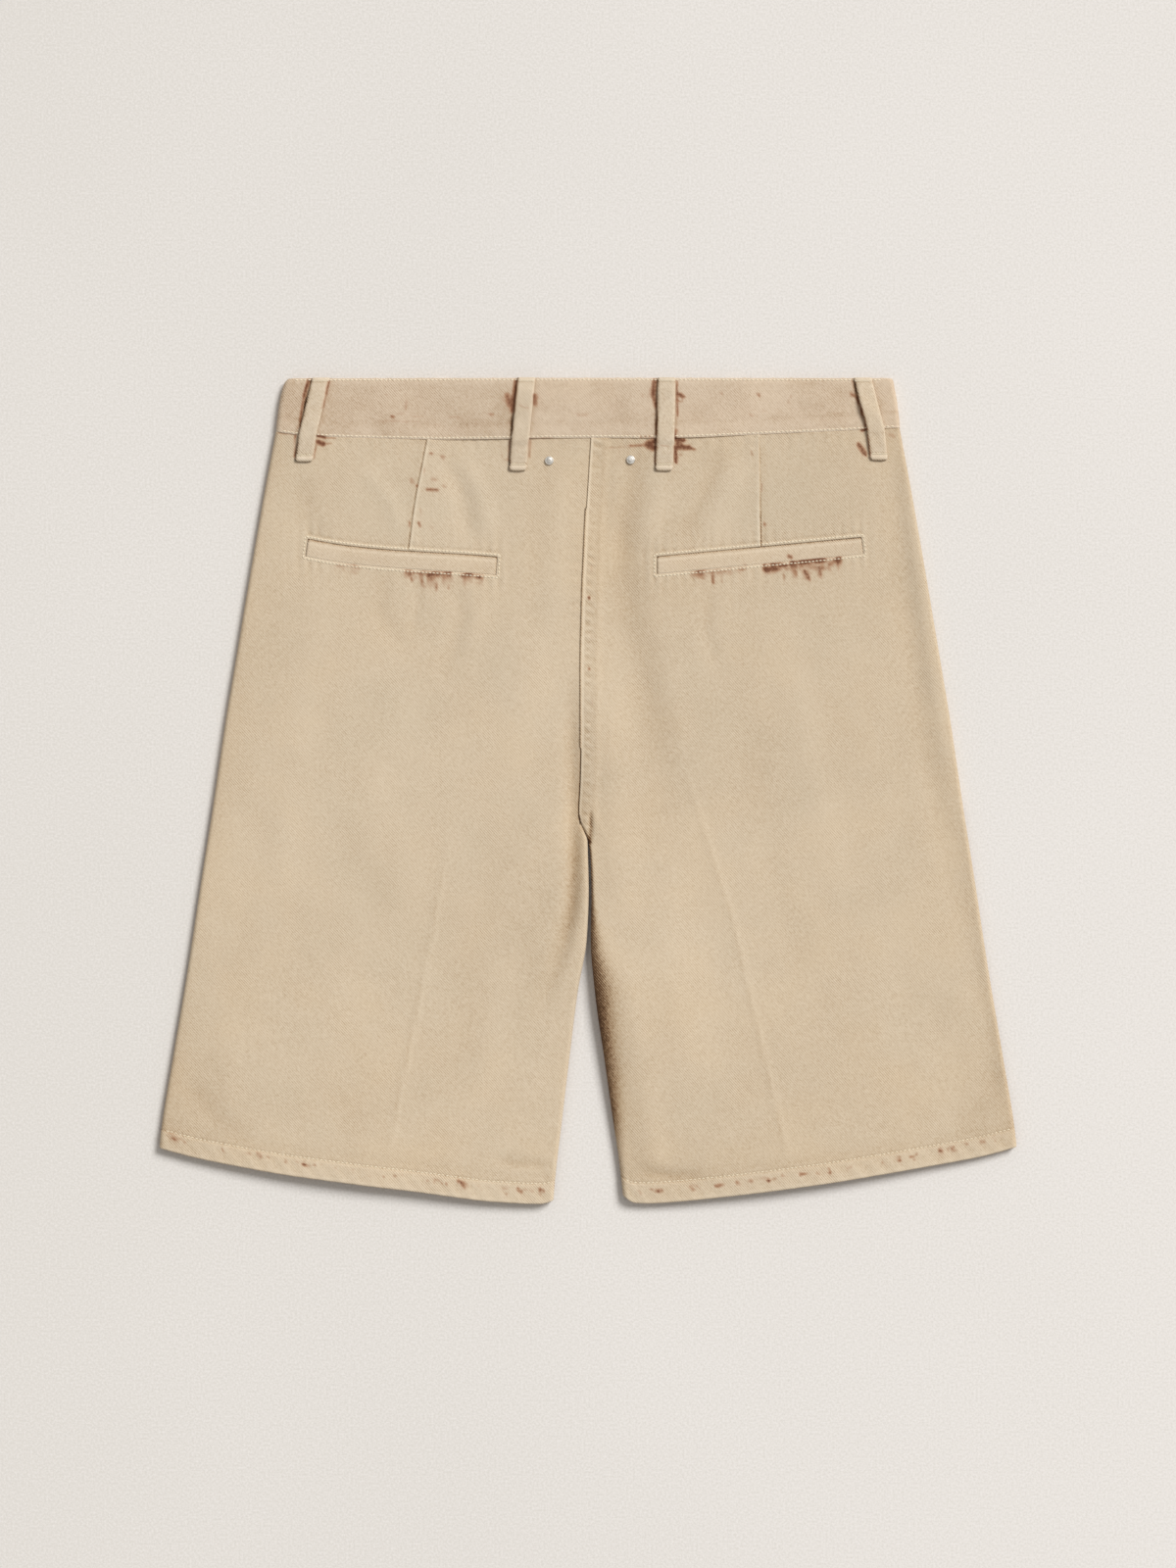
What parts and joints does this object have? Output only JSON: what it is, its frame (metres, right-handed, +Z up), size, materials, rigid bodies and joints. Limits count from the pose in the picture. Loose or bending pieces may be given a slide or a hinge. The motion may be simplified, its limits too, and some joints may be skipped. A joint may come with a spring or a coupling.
{
  "type": "bermuda shorts",
  "caption": "Knee-length shorts of heavy cotton twill, laid flat with the back up: waistband with belt loops, welt pockets, turned hems.",
  "frame": {"origin": "on the surface under the middle of the shorts' bounding box", "axes": "+X towards the wearer's right leg, +Y towards the waist, +Z up through the back, which is the upper side"},
  "size_m": [0.6111, 0.5879, 0.0131],
  "materials": {
    "twill": "matte washed cotton twill",
    "button": "satin horn look",
    "rivet": "aged nickel"
  },
  "bodies": {
    "root": {"back_left": "twill", "back_right": "twill", "front_left": "twill", "front_right": "twill", "pocket_facing_left": "twill", "pocket_facing_right": "twill", "welt_left": "twill", "welt_right": "twill", "waistband": "twill", "belt_loop_side_left": "twill", "belt_loop_back_left": "twill", "belt_loop_back_right": "twill", "belt_loop_side_right": "twill", "belt_loop_front_left": "twill", "belt_loop_front_right": "twill", "waist_button": "button", "rivet_left": "rivet", "rivet_right": "rivet"}
  },
  "joints": []
}
